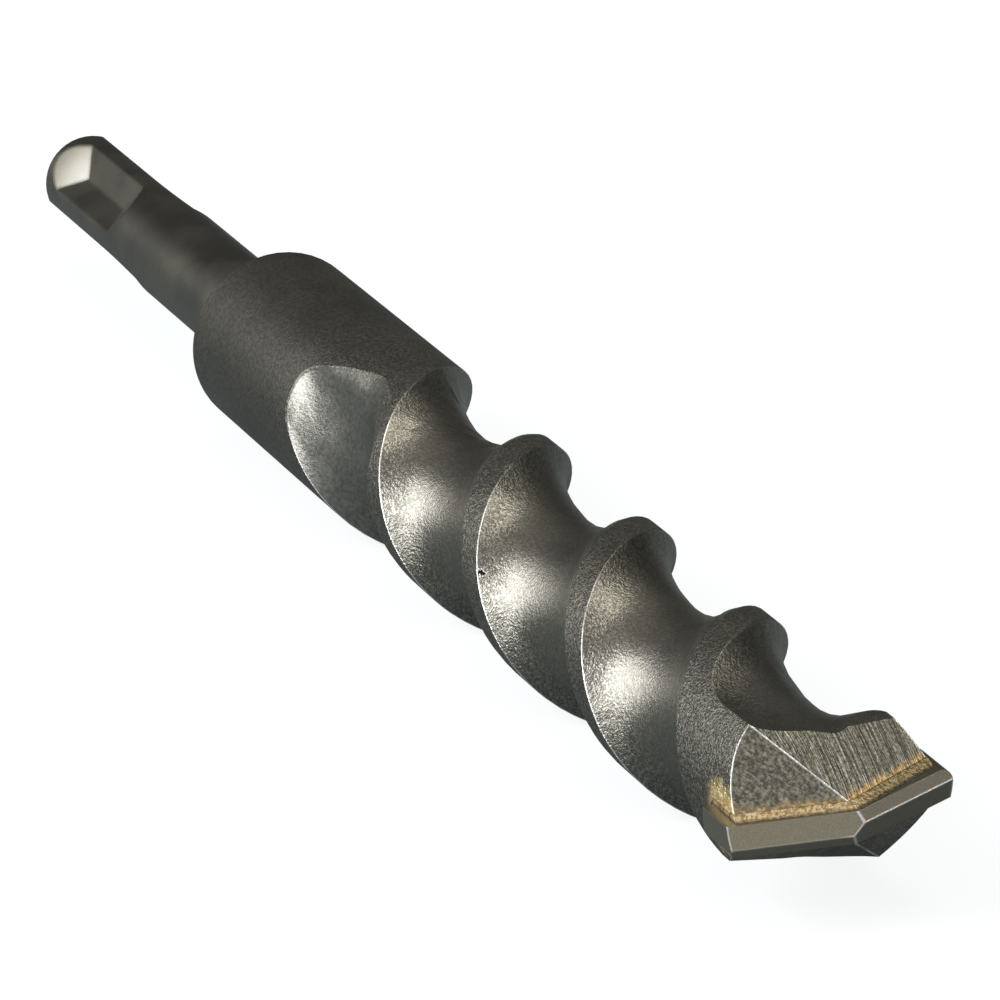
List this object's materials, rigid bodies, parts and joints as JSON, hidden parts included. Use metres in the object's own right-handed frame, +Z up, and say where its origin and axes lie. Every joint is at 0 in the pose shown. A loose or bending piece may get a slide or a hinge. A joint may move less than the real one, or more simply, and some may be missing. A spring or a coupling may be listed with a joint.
{
  "type": "sds plus drill bit",
  "caption": "Hammer drill bit with a grooved quick-change shank, a plain collar, helical flutes and a brazed carbide tip plate.",
  "frame": {"origin": "on the bit's axis at the free end of the shank", "axes": "+X along the bit's axis from the shank towards the tip, +Z up with the bit lying on a flat surface"},
  "size_m": [0.2, 0.0204, 0.0184],
  "materials": {
    "drill_body": "blasted dark grey steel with ground head faces",
    "carbide_tip": "ground sintered carbide",
    "braze_filler": "braze metal as it flowed"
  },
  "bodies": {
    "root": {"drill_body": "drill_body", "carbide_tip": "carbide_tip", "braze_filler": "braze_filler"}
  },
  "joints": []
}
